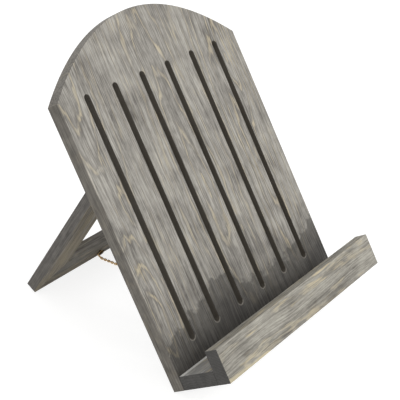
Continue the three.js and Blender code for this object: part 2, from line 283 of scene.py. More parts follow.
def coat(
    tree: Tree,
    colour: Node,
    roughness: Node | float,
    height: Node,
    relief: tuple[float, float],
    **constants: float,
) -> None:
    """End a material's tree: a surface with a fine relief, and the output.

    Args:
        tree: The material's tree.
        colour: The surface's colour.
        roughness: Its roughness.
        height: The pattern of its relief.
        relief: The relief's strength, and its depth in metres.
        constants: Values for the surface's other sockets.
    """
    bump = put(tree, "ShaderNodeBump", *relief, named={"Height": height})
    sockets = {"Base Color": colour, "Roughness": roughness, "Normal": bump, **constants}
    surface = put(tree, "ShaderNodeBsdfPrincipled", named=sockets)
    put(tree, "ShaderNodeOutputMaterial", surface)


def spots(tree: Tree, size_mm: float) -> Node:
    """Add noise on Object coordinates.

    Args:
        tree: The material's tree.
        size_mm: The size of a spot, in millimetres.

    Returns:
        The noise.
    """
    where = put(tree, "ShaderNodeTexCoord").outputs["Object"]
    sized = put(tree, MAPPING, where, named={"Scale": (1000 / size_mm,) * 3})
    return put(tree, NOISE, sized, 1.0, 3.0)


class Wood:
    """A piece of wood while its material is built: the tree, and the places in millimetres.

    local lies in the frame of the sub-assembly, with its parts x, y and z, and side is how
    far x is from the middle. In along, z runs along the fibres, which sway a little.
    """

    def __init__(self, tree: Tree, place: Place, grain: Grain, seed: float) -> None:
        """Add the places and the fibres.

        Args:
            tree: The material's tree.
            place: The frame of the sub-assembly.
            grain: Which way the fibres run in it.
            seed: What sets the patterns of this piece apart from the others'.
        """
        self.tree, self.seed = tree, seed
        origin, turn = place.value
        where = put(tree, "ShaderNodeTexCoord").outputs["Object"]
        unit = (MM, MM, MM)
        self.local = put(tree, MAPPING, where, origin, (turn, 0, 0), unit, vector_type="TEXTURE")
        self.x, self.y, self.z = put(tree, "ShaderNodeSeparateXYZ", self.local).outputs
        self.side = put(tree, Do.ABSOLUTE, self.x)
        quarter = -math.pi / 2 if grain is Grain.SIDEWAYS else 0.0
        straight = put(tree, MAPPING, self.local, named={"Rotation": (0, quarter, 0)})
        # The fibres wander by up to 9 mm, in waves of 34 by 95 mm.
        shift = (seed * 2.9, seed * 1.3, seed * 4.1)
        waves = put(tree, MAPPING, straight, shift, NO_TURN, (1 / 34, 1 / 34, 1 / 95))
        sway = put(tree, NOISE, waves, 1.0, 1.0).outputs["Color"]
        self.along = put(tree, VECTOR_MATH, sway, (9, 0, 0), straight, operation="MULTIPLY_ADD")
        # Fibres are about 0.3 mm across and are drawn at 1.1 mm so that they show.
        self.fibres = self.patches(1.15, 52, 0.38, 0.62)

    def patches(
        self,
        across: float,
        length: float,
        low: float,
        high: float,
        detail: float = 2.0,
        place: Node | None = None,
    ) -> Node:
        """Add noise in patches, spread from zero to one.

        Args:
            across: The size of a patch across the fibres, in millimetres.
            length: Its size along them.
            low: The noise level that becomes zero.
            high: The noise level that becomes one.
            detail: How many finer octaves are added.
            place: Coordinates in place of those along the fibres.

        Returns:
            The level.
        """
        shift = (self.seed * 7.31, self.seed * 3.17, self.seed * 5.73)
        scale = (1 / across, 1 / across, 1 / length)
        start = self.along if place is None else place
        stretched = put(self.tree, MAPPING, start, shift, NO_TURN, scale)
        noise = put(self.tree, NOISE, stretched, 1.0, detail)
        return put(self.tree, RANGE, noise, low, high)


@dataclass(frozen=True)
class Figure:
    """A pointed figure in flat-sawn wood, where the year rings close round a high spot.

    Its middle is given across and along the fibres, in millimetres. A ring crosses the face
    every ring_mm, and the figure is stretch times as long as it is wide.
    """

    across: float
    along: float
    stretch: float
    ring_mm: float = 6.5


@dataclass(frozen=True)
class WashedPine:
    """Planed pine under a thin gray wash, rubbed back and left matt.

    The wash sinks into the soft early wood and leaves it gray, the hard ring lines shed it and
    stay cream, and it lies darker along sawn edges. On the board, the darkening above the ledge
    and on the slot walls is partly painted shade.
    """

    name: str
    place: Place
    grain: Grain
    seed: float
    figures: tuple[Figure, ...]
    light: str = "#BAB6AD"
    dark: str = "#5F5B56"
    cream: str = "#C6B899"
    sawn_light: str = "#817C74"
    sawn_dark: str = "#55514C"
    sawn_strength: float = 0.85
    cream_strength: float = 0.8
    dashes: float = 0.5
    half_width_mm: float = HALF_BOARD
    marks: tuple[Mark, ...] = ()
    wiped_below_mm: float = 0.0

    def build(self) -> Finish:
        """Build the material.

        Returns:
            The finished material.
        """
        material, tree = fresh_material(self.name)
        wood = Wood(tree, self.place, self.grain, self.seed)
        colour = self._sawn(wood, self._ring_lines(wood, self._wash(wood)))
        for mark in self.marks:
            if mark is Mark.STAIN:
                colour = self._stain(wood, colour)
            elif mark is not Mark.ARCH:
                colour = tinted(tree, colour, *self._marked(wood, mark))
        rough = put(tree, RANGE, wood.fibres, 0.0, 1.0, 0.86, 0.68)
        coat(tree, colour, rough, wood.fibres, (0.4, 0.0003), IOR=1.5)
        return material

    def _wash(self, wood: Wood) -> Node:
        """Add the gray of the wash: fine fibres, broader streaks and cloudy patches.

        Args:
            wood: The piece.

        Returns:
            The colour.
        """
        flecks = wood.patches(0.9, 7, 0.36, 0.64, 1)
        streaks = wood.patches(4, 120, 0.34, 0.66)
        mottle = wood.patches(9, 15, 0.34, 0.66, 3)
        clouds = wood.patches(27, 44, 0.34, 0.66, 3)
        level = put(wood.tree, Do.MULTIPLY, wood.fibres, 0.3)
        for pattern, share in ((flecks, 0.15), (streaks, 0.12), (mottle, 0.15), (clouds, 0.28)):
            level = put(wood.tree, Do.MULTIPLY_ADD, pattern, share, level)
        level = put(wood.tree, RANGE, level, 0.14, 0.86)
        ends = linear(self.dark), linear(self.light)
        return put(wood.tree, MIX, level, *ends, data_type="RGBA")

    def _ring_lines(self, wood: Wood, colour: Node) -> Node:
        """Add the year rings: a darker band and a cream line each, in long pointed figures.

        Args:
            wood: The piece.
            colour: The colour of the wash.

        Returns:
            The colour with the rings on it.
        """
        tree, rings = wood.tree, None
        for figure in self.figures:
            middle = (figure.across, 0, figure.along)
            ring = figure.ring_mm
            size = (ring, ring * 2, ring * figure.stretch)
            centred = put(tree, MAPPING, wood.along, middle, NO_TURN, size, vector_type="TEXTURE")
            reach = put(tree, VECTOR_MATH, centred, operation="LENGTH")
            if rings is not None:
                reach = put(tree, Do.SMOOTH_MIN, rings, reach, 1.2)
            rings = reach
        ragged = wood.patches(7, 34, 0.2, 0.8, 4)
        # The lines then lie at whole numbers of rings from each figure's middle.
        shifted = put(tree, Do.ADD, rings, 0.45)
        wandering = put(tree, Do.MULTIPLY_ADD, ragged, 0.7, shifted)
        phase = put(tree, Do.FRACT, wandering)
        line_stops = (0.0, 0.0), (0.7, 0.0), (0.8, 1.0), (0.87, 0.85), (0.93, 0.0)
        line = shade_ramp(put(tree, RAMP, phase), *line_stops)
        late_stops = (0.0, 0.7), (0.12, 0.0), (0.5, 0.0), (0.7, 1.0), (0.78, 0.0), (0.94, 0.8)
        late = shade_ramp(put(tree, RAMP, phase), *late_stops)
        # The rings fade from the third to the seventh, out from a figure's middle.
        near = put(tree, RANGE, rings, 2.5, 7.0, 1.0, 0.2)
        colour = tinted(tree, colour, self.dark, 0.5, late, near)
        rubbed = wood.patches(13, 50, 0.36, 0.56)
        torn = put(tree, Do.MULTIPLY_ADD, wood.fibres, 0.6, 0.4)
        masks = line, near, rubbed, torn
        colour = tinted(tree, colour, self.cream, self.cream_strength, *masks)
        dashes = wood.patches(2.2, 30, 0.56, 0.68)
        places = wood.patches(22, 44, 0.5, 0.62)
        return tinted(tree, colour, self.cream, self.dashes, dashes, places)

    def _sawn(self, wood: Wood, colour: Node) -> Node:
        """Add the darker wash on the sawn sides and, on the board, on the arch.

        Args:
            wood: The piece.
            colour: The colour of the faces.

        Returns:
            The colour with the sawn edges.
        """
        tree, tone = wood.tree, self._sawn_tone(wood)
        at_side = put(tree, Do.GREATER_THAN, wood.side, self.half_width_mm - 0.32)
        colour = tinted(tree, colour, tone, self.sawn_strength, at_side)
        if Mark.ARCH not in self.marks:
            return colour
        # The arch is a parabola over the shoulders.
        square = put(tree, Do.MULTIPLY, wood.x, wood.x)
        fall, top = -ARCH_RISE / HALF_BOARD**2, SHOULDER + ARCH_RISE - 0.2
        crown = put(tree, Do.MULTIPLY_ADD, square, fall, top)
        above = put(tree, Do.GREATER_THAN, wood.z, crown)
        high = put(tree, Do.GREATER_THAN, wood.z, SHOULDER - 0.1)
        return tinted(tree, colour, tone, 0.75, above, high)

    def _sawn_tone(self, wood: Wood) -> Node:
        """Find the tone of sawn edges: year rings on end grain, saw fibres along edges.

        Args:
            wood: The piece.

        Returns:
            The tone.
        """
        tree, pattern = wood.tree, wood.fibres
        mottle = wood.patches(6, 9, 0.3, 0.7, 3, wood.local)
        if self.grain is Grain.SIDEWAYS:
            # The tree's heart lay 45 mm below and behind, and its rings are 2.6 mm apart.
            heart, rings = (0, -14, -45), (1e6, 2.6, 2.6)
            centred = put(tree, MAPPING, wood.local, heart, NO_TURN, rings, vector_type="TEXTURE")
            reach = put(tree, VECTOR_MATH, centred, operation="LENGTH")
            waved = put(tree, Do.MULTIPLY_ADD, mottle, 0.8, reach)
            folded = put(tree, Do.PINGPONG, waved, 0.5)
            pattern = put(tree, Do.MULTIPLY, folded, 2.0)
        pattern = put(tree, Do.MULTIPLY, pattern, 0.4)
        pattern = put(tree, Do.MULTIPLY_ADD, mottle, 0.6, pattern)
        ends = linear(self.sawn_dark), linear(self.sawn_light)
        return put(tree, MIX, pattern, *ends, data_type="RGBA")

    def _stain(self, wood: Wood, colour: Node) -> Node:
        """Add the dark band above the ledge: partly a stain, partly painted shade, darkest in the
        corner by the ledge.

        Args:
            wood: The board.
            colour: Its colour.

        Returns:
            The colour with the stain and the painted shade.
        """
        tree = wood.tree
        across = put(tree, RANGE, wood.x, -HALF_BOARD, HALF_BOARD)
        ramp = put(tree, RAMP, across)
        ramp.color_ramp.interpolation = "B_SPLINE"
        # The dark band's upper edge from left to right, as a share of 100 mm up the board.
        left = (0.0, 0.36), (0.06, 0.48), (0.13, 0.48), (0.17, 0.56), (0.28, 0.56), (0.32, 0.7)
        right = (0.42, 0.68), (0.48, 0.46), (0.72, 0.45), (0.88, 0.5), (1.0, 0.68)
        edge = shade_ramp(ramp, *left, *right)
        ripple = put(tree, NOISE, wood.local, 0.11, 4.0)
        wisps = put(tree, Do.MULTIPLY_ADD, wood.fibres, 2.6, -1.3)
        top = put(tree, Do.MULTIPLY_ADD, edge, 100.0, wisps)
        top = put(tree, Do.MULTIPLY_ADD, ripple, 30.0, top)
        top = put(tree, Do.SUBTRACT, top, 15.0)
        depth = put(tree, Do.SUBTRACT, top, wood.z)
        front = put(tree, Do.LESS_THAN, wood.y, 0.3)
        cloudy = put(tree, Do.MULTIPLY, wood.fibres, 0.5)
        blots = wood.patches(8, 14, 0.34, 0.66, 3, wood.local)
        cloudy = put(tree, Do.MULTIPLY_ADD, blots, 0.5, cloudy)
        ends = linear("#242220"), linear("#43403C")
        tone = put(tree, MIX, cloudy, *ends, data_type="RGBA")
        # A wide soft halo, the edge and the deep part of the band next to the ledge, where the
        # painted shade is darkest: each with the depth below the edge, in millimetres, at which
        # it starts and at which it is full, and its strength.
        for start, full, strength in ((-34.0, 18.0, 0.36), (-2.5, 3.0, 0.6), (4.0, 34.0, 0.8)):
            layer = put(tree, RANGE, depth, start, full, interpolation_type="SMOOTHSTEP")
            colour = tinted(tree, colour, tone, strength, layer, front)
        return colour

    def _marked(self, wood: Wood, mark: Mark) -> tuple:
        """Find where a mark lies, and how it colours the wood.

        Args:
            wood: The piece.
            mark: The mark.

        Returns:
            The mark's tone, its strength, and its masks.
        """
        tree, sides = wood.tree, self.half_width_mm
        if mark is Mark.SLOTS:
            # The slot walls: partly their own darker wash, partly painted shade in the narrow
            # slots.
            deep = put(tree, Do.COMPARE, wood.y, BOARD_THICK / 2, BOARD_THICK / 2 - 0.35)
            inside = put(tree, Do.LESS_THAN, wood.side, HALF_BOARD - 2)
            # The slots lie between 29.5 and 270.5 mm up the board.
            tall = put(tree, Do.COMPARE, wood.z, 150.0, 120.5)
            return "#5B554C", 1.0, deep, inside, tall
        if mark is Mark.RIMS:
            # The cutter left them round each slot's foot, on a circle of 3.95 mm.
            folded = put(tree, Do.PINGPONG, wood.x, HALF_SLOT_PITCH)
            beside = put(tree, Do.SUBTRACT, HALF_SLOT_PITCH, folded)
            above = put(tree, Do.SUBTRACT, wood.z, SLOT_FOOT)
            centred = put(tree, COMBINE, beside, 0.0, above)
            reach = put(tree, VECTOR_MATH, centred, operation="LENGTH")
            rim = put(tree, Do.COMPARE, reach, 3.95, 0.55)
            low = put(tree, Do.LESS_THAN, wood.z, SLOT_FOOT - 0.5)
            return "#8B867D", 0.6, rim, low, put(tree, Do.LESS_THAN, wood.y, 0.4)
        if mark is Mark.WORN_FOOT:
            across = put(tree, RANGE, wood.x, -HALF_BOARD, HALF_BOARD)
            # How high the wear reaches, from left to right, as a share of 12 mm.
            left = (0.0, 0.5), (0.2, 0.42), (0.25, 0.0)
            middle = (0.45, 0.0), (0.48, 0.3), (0.52, 0.32), (0.56, 0.0)
            reach = shade_ramp(put(tree, RAMP, across), *left, *middle)
            ragged = wood.patches(2.2, 30, 0.3, 0.7, 3)
            top = put(tree, Do.MULTIPLY_ADD, reach, 12.0, -4.4)
            top = put(tree, Do.MULTIPLY_ADD, ragged, 5.0, top)
            depth = put(tree, Do.SUBTRACT, top, wood.z)
            worn = put(tree, RANGE, depth, 0.0, 1.6)
            return "#CFC3A3", 0.7, worn, put(tree, Do.LESS_THAN, wood.side, sides - 0.3)
        if mark is Mark.RUBBED_STRIP:
            # A near-white strip on the shelf's top by the board: a painted highlight, bright
            # enough to show through the corner's shade.
            strip = put(tree, RANGE, wood.y, -6.5, -4.5, interpolation_type="SMOOTHSTEP")
            top_face = put(tree, Do.GREATER_THAN, wood.z, 12.9)
            inner = put(tree, Do.LESS_THAN, wood.side, sides - 0.32)
            return "#F0EEE9", 0.9, strip, top_face, inner
        if mark is Mark.WIPED_FRONT:
            edges = self.wiped_below_mm + 3.5, self.wiped_below_mm - 3.5
            low = put(tree, RANGE, wood.z, *edges, interpolation_type="SMOOTHSTEP")
            front = put(tree, Do.LESS_THAN, wood.y, 3.5)
            thin = wood.patches(10, 40, 0.34, 0.62, 3)
            torn = put(tree, Do.MULTIPLY_ADD, wood.fibres, 0.5, 0.5)
            return "#988C70", 0.65, low, front, thin, torn
        arris = put(tree, Do.COMPARE, wood.x, 0.7 - HALF_BOARD, 0.7)
        front = put(tree, Do.LESS_THAN, wood.y, 0.6)
        worn = wood.patches(6, 30, 0.45, 0.6, 3)
        high = put(tree, RANGE, wood.z, 60.0, 110.0)
        return "#C9C2B4", 0.5, arris, front, worn, high


@dataclass(frozen=True)
class DrawnMetal:
    """Small metal goods: drawn wire, stamped leaves and turned screws.

    The metal is bright where it rubs, and duller under a thin uneven film elsewhere.
    """

    name: str
    bright: str
    dull: str
    roughness: float
    film_mm: float = 1.6

    def build(self) -> Finish:
        """Build the material.

        Returns:
            The finished material.
        """
        material, tree = fresh_material(self.name)
        film = spots(tree, self.film_mm)
        level = put(tree, RANGE, film, 0.38, 0.64)
        ends = linear(self.bright), linear(self.dull)
        colour = put(tree, MIX, level, *ends, data_type="RGBA")
        rough = put(tree, RANGE, level, 0.0, 1.0, self.roughness, self.roughness + 0.2)
        coat(tree, colour, rough, film, (0.15, 0.0001), Metallic=1.0)
        return material


@dataclass(frozen=True)
class DriedGlue:
    """Dried wood glue in a joint, stained gray by the wash: satin, darker than the wood."""

    light: str = "#504C45"
    dark: str = "#35322E"
    bead_mm: float = 2.5

    def build(self) -> Finish:
        """Build the material.

        Returns:
            The finished material.
        """
        material, tree = fresh_material("dried wood glue, stained")
        beads = spots(tree, self.bead_mm)
        ends = linear(self.dark), linear(self.light)
        colour = put(tree, MIX, beads, *ends, data_type="RGBA")
        coat(tree, colour, 0.5, beads, (0.3, 0.0002))
        return material


def bare_beech(name: str, place: Place, seed: float) -> Finish:
    """Build the finish of dowels, whose turned beech is plain, warm and pale.

    Args:
        name: The material's name.
        place: The frame that the dowels move with.
        seed: What sets their patterns apart.

    Returns:
        The finished material.
    """
    tones = {"light": "#C9B286", "dark": "#B59C6E"}
    return WashedPine(name, place, Grain.SIDEWAYS, seed, (Figure(0, 0, 6),), **tones).build()


def numbered(stem: str, count: int) -> list[str]:
    """The names of nodes that are numbered from one."""
    return [f"{stem}_{i}" for i in range(1, count + 1)]


def dress(frame: dict, names: list[str], material: Finish) -> None:
    """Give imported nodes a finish.

    Args:
        names: The nodes.
        material: The finish.
    """
    for name in names:
        mesh = frame["nodes"][name].data
        if not mesh.materials:
            mesh.materials.append(material)
        for i in range(len(mesh.materials)):
            mesh.materials[i] = material


def show(name: str, data: bpy.types.ID) -> Piece:
    """Put a new object into the scene, at the origin.

    Args:
        name: Its name.
        data: Its mesh, lamp or camera.

    Returns:
        The object.
    """
    thing = bpy.data.objects.new(name, data)
    bpy.context.scene.collection.objects.link(thing)
    return thing


def place_on(piece: Piece, body: str, replaced: list[str]) -> None:
    """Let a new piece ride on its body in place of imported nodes.

    Args:
        piece: The piece.
        body: The body it moves with.
        replaced: The nodes it stands for.
    """
    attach(piece, body)
    if replaced:
        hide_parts(*replaced)
    LOG.info("%s: rides on %s", piece.name, body)


def along(line: list[Vector], share: float) -> Vector:
    """Find the point that lies a share of the way along a line.

    Args:
        line: The line's points.
        share: The share, from zero to one.

    Returns:
        The point.
    """
    steps = [(b - a).length for a, b in zip(line, line[1:])]
    left = share * sum(steps)
    for (a, b), step in zip(zip(line, line[1:]), steps):
        if left <= step:
            return a.lerp(b, left / step)
        left -= step
    return line[-1].copy()


def rounded(before: Vector, corner: Vector, after: Vector, reach: float = 0.002) -> list[Vector]:
    """Round a corner of a line.

    Args:
        before: The point before the corner.
        corner: The corner.
        after: The point after it.
        reach: How far from the corner the rounding starts.

    Returns:
        Points round the corner.
    """
    start = corner + (before - corner).normalized() * reach
    end = corner + (after - corner).normalized() * reach
    shares = (0.0, 0.25, 0.5, 0.75, 1.0)
    return [start.lerp(corner, t).lerp(corner.lerp(end, t), t) for t in shares]


@dataclass
class GlueSeam:
    """The glue in a long joint: a thin sheet whose edges stop short unevenly, in millimetres."""

    name: str
    y: float
    half_length: float = 129.6
    low: float = 0.6
    high: float = 12.8
    thickness: float = 0.28
    steps: int = 64

    def build(self, finish: Finish) -> Piece:
        """Build the sheet.

        Args:
            finish: Its material.

        Returns:
            The piece.
        """
        points, faces = [], []
        for i in range(self.steps + 1):
            x = self.half_length * (2 * i / self.steps - 1)
            ripple = 0.15 * math.sin(i * 1.7) + 0.1 * math.sin(i * 4.1)
            for z in (self.low - ripple, self.high + ripple):
                for side in (-0.5, 0.5):
                    points.append(Place.BOARD.point(x, self.y + side * self.thickness, z))
        for i in range(self.steps):
            a, b = 4 * i, 4 * i + 4
            faces += [(a, b, b + 2, a + 2), (a + 1, a + 3, b + 3, b + 1)]
            faces += [(a, a + 1, b + 1, b), (a + 2, b + 2, b + 3, a + 3)]
        last = 4 * self.steps
        faces += [(0, 2, 3, 1), (last, last + 1, last + 3, last + 2)]
        mesh = bpy.data.meshes.new(self.name)
        mesh.from_pydata([tuple(p) for p in points], [], faces)
        mesh.materials.append(finish)
        return show(self.name, mesh)


class Maker:
    """Runs a geometry tree of its own on points and keeps the result as a plain mesh.

    LENGTHS names the inputs that the fields of a size fill, in their order.
    """

    LENGTHS: tuple[str, ...] = ()
    OTHERS: dict[str, str] = {}

    def __init__(self, name: str) -> None:
        """Start the tree.

        Args:
            name: The tree's name.
        """
        self.tree = bpy.data.node_groups.new(name, "GeometryNodeTree")
        face, shape = self.tree.interface, "NodeSocketGeometry"
        lengths = dict.fromkeys(self.LENGTHS, "NodeSocketFloat")
        for label, kind in {"Geometry": shape, **lengths, **self.OTHERS}.items():
            face.new_socket(label, in_out="INPUT", socket_type=kind)
        face.new_socket("Geometry", in_out="OUTPUT", socket_type=shape)
        self.size = put(self.tree, "NodeGroupInput").outputs

    def raised(self, mesh: Node, height: Node | Socket | float) -> Node:
        """Move a mesh up.

        Args:
            mesh: The mesh.
            height: How far.

        Returns:
            The moved mesh.
        """
        offset = put(self.tree, COMBINE, 0.0, 0.0, height)
        return put(self.tree, "GeometryNodeTransform", mesh, offset)

    def finish(self, copies: Node) -> None:
        """End the tree: real copies, one material, the output.

        Args:
            copies: The instances.
        """
        real = put(self.tree, "GeometryNodeRealizeInstances", copies)
        named = {"Material": self.size["Material"]}
        dressed = put(self.tree, "GeometryNodeSetMaterial", real, named=named)
        put(self.tree, "NodeGroupOutput", dressed)

    def make(
        self, name: str, size: object, line: list[Vector], joined: bool, others: dict
    ) -> Piece:
        """Run the tree.

        Args:
            name: The new piece's name.
            size: A ScrewSize or a LinkSize.
            line: The points, in the row frame.
            joined: Whether an edge runs from each point to the next.
            others: Values for the tree's other named inputs.

        Returns:
            The piece, at the origin and with no modifier.
        """
        geometry = bpy.data.meshes.new(name)
        edges = [(i, i + 1) for i in range(len(line) - 1)] if joined else []
        geometry.from_pydata([tuple(p) for p in line], edges, [])
        carrier = show(f"{name} carrier", geometry)
        modifier = carrier.modifiers.new("build", "NODES")
        modifier.node_group = self.tree
        sockets = {
            item.name: item.identifier
            for item in self.tree.interface.items_tree
            if item.item_type == "SOCKET" and item.in_out == "INPUT"
        }
        lengths = {label: value * MM for label, value in zip(self.LENGTHS, astuple(size))}
        for label, value in (lengths | others).items():
            modifier[sockets[label]] = value
        graph = bpy.context.evaluated_depsgraph_get()
        mesh = bpy.data.meshes.new_from_object(carrier.evaluated_get(graph))
        bpy.data.objects.remove(carrier)
        mesh.name = name
        return show(name, mesh)


@dataclass(frozen=True)
class ScrewSize:
    """A wood screw, in millimetres: a flat or a domed head, a shank and a point.

    The driver's recess is a cross in a flat head and a single slot in a domed one.
    """

    shank: float
    head: float
    head_depth: float
    length: float
    tip: float
    drive_reach: float
    drive_width: float
    drive_depth: float
    standoff: float = 0.0
    domed: bool = False


class ScrewMaker(Maker):
    """Builds screws with Geometry Nodes: one turned screw, copied to every hole."""

    SHAFT = ("Shank Radius", "Head Radius", "Head Depth", "Length", "Tip Length")
    LENGTHS = SHAFT + ("Drive Reach", "Drive Width", "Drive Depth", "Standoff")
    OTHERS = {
        "Domed": "NodeSocketBool",
        "Turn": "NodeSocketRotation",
        "Material": "NodeSocketMaterial",
    }

    def __init__(self) -> None:
        """Build the tree once."""
        super().__init__("turned screw")
        cut = {"operation": "DIFFERENCE", "solver": "MANIFOLD"}
        # What the driver fits is cut from the whole screw.
        screw = put(self.tree, BOOLEAN, self._body(), self._cutters(), **cut)
        placed = {"Instance": screw, "Rotation": self.size["Turn"]}
        self.finish(put(self.tree, ON_POINTS, self.size["Geometry"], named=placed))

    def _body(self) -> Node:
        """Add the nodes of the point, the shank and the head.

        Returns:
            The three as one mesh.
        """
        tree, size = self.tree, self.size
        sizes = {"Vertices": 20, "Radius Top": size["Shank Radius"], "Radius Bottom": 0.0}
        tip = put(tree, "GeometryNodeMeshCone", named=sizes | {"Depth": size["Tip Length"]})
        low = put(tree, Do.SUBTRACT, 0.0, size["Length"])
        # The shank ends inside the head: a domed one stands off the wood, a flat one is sunk.
        share = put(tree, SWITCH, size["Domed"], -0.8, 0.4, input_type="FLOAT")
        inside = put(tree, Do.MULTIPLY, size["Head Depth"], share)
        above = put(tree, Do.ADD, size["Standoff"], inside)
        below = put(tree, Do.SUBTRACT, size["Length"], size["Tip Length"])
        whole = put(tree, Do.ADD, below, above)
        sizes = {"Vertices": 20, "Radius": size["Shank Radius"], "Depth": whole}
        shank = put(tree, "GeometryNodeMeshCylinder", named=sizes)
        # A cylinder is made about its middle, a cone from its foot.
        middle = put(tree, Do.SUBTRACT, above, below)
        middle = put(tree, Do.MULTIPLY, middle, 0.5)
        neck = put(tree, Do.MULTIPLY, size["Shank Radius"], 0.9)
        sizes = {"Vertices": 28, "Radius Top": size["Head Radius"], "Radius Bottom": neck}
        flat = put(tree, "GeometryNodeMeshCone", named=sizes | {"Depth": size["Head Depth"]})
        sunk = put(tree, Do.SUBTRACT, 0.0, size["Head Depth"])
        ball = put(tree, "GeometryNodeMeshUVSphere", 28, 13, 1.0)
        squat = put(tree, COMBINE, size["Head Radius"], size["Head Radius"], size["Head Depth"])
        dome = put(tree, "GeometryNodeTransform", ball, named={"Scale": squat})
        block = self.raised(put(tree, CUBE, (0.1, 0.1, 0.1)), -0.05)
        dome = put(tree, BOOLEAN, dome, block, operation="DIFFERENCE", solver="MANIFOLD")
        heads = self.raised(flat, sunk), self.raised(dome, size["Standoff"])
        head = put(tree, SWITCH, size["Domed"], *heads, input_type="GEOMETRY")
        parts = [self.raised(tip, low), self.raised(shank, middle), head]
        return put(tree, BOOLEAN, parts, operation="UNION", solver="MANIFOLD")

    def _cutters(self) -> list[Node]:
        """Add the nodes of the two bars that cut the drive: a cross, or a single slot.

        Returns:
            The two bars.
        """
        tree, size = self.tree, self.size
        crown = put(tree, Do.ADD, size["Standoff"], size["Head Depth"])
        top = put(tree, SWITCH, size["Domed"], 0.0, crown, input_type="FLOAT")
        deep = put(tree, Do.MULTIPLY, size["Drive Depth"], 2.0)
        slot = put(tree, COMBINE, size["Drive Reach"], size["Drive Width"], deep)
        narrow = put(tree, Do.MULTIPLY, size["Drive Width"], 0.5)
        arm = put(tree, SWITCH, size["Domed"], size["Drive Reach"], narrow, input_type="FLOAT")
        shallower = put(tree, Do.MULTIPLY, deep, 0.97)
        cross = put(tree, COMBINE, size["Drive Width"], arm, shallower)
        return [self.raised(put(tree, CUBE, bar), top) for bar in (slot, cross)]


@dataclass(frozen=True)
class LinkSize:
    """A closed wire link, in millimetres: its wire, its round ends and its straight sides."""

    wire: float
    end_radius: float
    straight: float


class LinkMaker(Maker):
    """Builds wire links with Geometry Nodes, strung along a line or set on a point."""

    LENGTHS = ("Wire Radius", "End Radius", "Straight")
    OTHERS = {
        **dict.fromkeys(("Count", "First Link", "Last Link"), "NodeSocketInt"),
        "Roll": "NodeSocketFloat",
        "Material": "NodeSocketMaterial",
    }

    def __init__(self) -> None:
        """Build the tree once."""
        super().__init__("wire links")
        self._string(self._link())

    def _link(self) -> Node:
        """Add the nodes of one closed oval link of round wire, lying along z.

        Returns:
            The link.
        """
        tree, size = self.tree, self.size
        ring = put(tree, CIRCLE, 14, size["End Radius"], mode="RADIUS")
        where = put(tree, "ShaderNodeSeparateXYZ", put(tree, "GeometryNodeInputPosition"))
        sign = put(tree, Do.SIGN, where)
        half = put(tree, Do.MULTIPLY, size["Straight"], 0.5)
        shift = put(tree, Do.MULTIPLY, sign, half)
        offset = {"Offset": put(tree, COMBINE, shift)}
        oval = put(tree, "GeometryNodeSetPosition", ring, named=offset)
        wire = put(tree, CIRCLE, 6, size["Wire Radius"], mode="RADIUS")
        link = put(tree, "GeometryNodeCurveToMesh", oval, wire)
        return put(tree, "GeometryNodeTransform", link, NO_SHIFT, (0, -math.pi / 2, 0))

    def _string(self, link: Node) -> None:
        """Add the nodes that string the links, each a quarter turn from the last.

        The two links at each end turn from square to the end link to resting on an edge.

        Args:
            link: The link that is copied.
        """
        tree, size = self.tree, self.size
        line = put(tree, "GeometryNodeMeshToCurve", size["Geometry"])
        level = put(tree, "GeometryNodeSetCurveNormal", line, mode="Z_UP")
        stations = put(tree, "GeometryNodeCurveToPoints", level, size["Count"], mode="COUNT")
        index = put(tree, "GeometryNodeInputIndex")
        last = put(tree, Do.SUBTRACT, size["Count"], 1.0)
        to_end = put(tree, Do.SUBTRACT, last, index)
        from_end = put(tree, Do.MINIMUM, index, to_end)
        half = put(tree, Do.MULTIPLY, from_end, 0.5)
        share = put(tree, Do.MINIMUM, half, 1.0)
        lean = put(tree, Do.MULTIPLY_ADD, share, math.pi / 4, size["Roll"])
        parity = put(tree, Do.MODULO, index, 2.0)
        roll = put(tree, Do.MULTIPLY_ADD, parity, math.pi / 2, lean)
        spin = put(tree, "FunctionNodeAxisAngleToRotation", (0, 0, 1), roll)
        turns = stations.outputs["Rotation"], spin
        turned = put(tree, "FunctionNodeRotateRotation", *turns, rotation_space="LOCAL")
        start = put(tree, Do.SUBTRACT, size["First Link"], 0.5)
        after = put(tree, Do.GREATER_THAN, index, start)
        end = put(tree, Do.ADD, size["Last Link"], 0.5)
        before = put(tree, Do.LESS_THAN, index, end)
        chosen = put(tree, Do.MULTIPLY, after, before)
        self.finish(put(tree, ON_POINTS, stations, chosen, link, named={"Rotation": turned}))


@dataclass
class BackBoard:
    """The arched and slotted board."""

    figures: tuple[Figure, ...] = (
        Figure(5, 143, 6.7, 8.6),
        Figure(-117, 60, 3.6, 7.5),
        Figure(-113, 331, 5.2, 8),
        Figure(92, 150, 8, 7),
        Figure(108, 250, 7, 5),
    )
    marks: tuple[Mark, ...] = (Mark.ARCH, Mark.SLOTS, Mark.STAIN, Mark.RIMS, Mark.RUBBED_ARRIS)

    def build(self, frame: dict) -> None:
        """Dress the board.
        """
        # The wash dries in streaks on the planed face, so the wood reads as weathered.
        name = "gray-washed pine, planed board"
        kind = (Place.BOARD, Grain.UPRIGHT, 0.0, self.figures)
        dress(frame, ["back_board"], WashedPine(name, *kind, marks=self.marks).build())
        LOG.info("back board: planed pine with a gray wash")


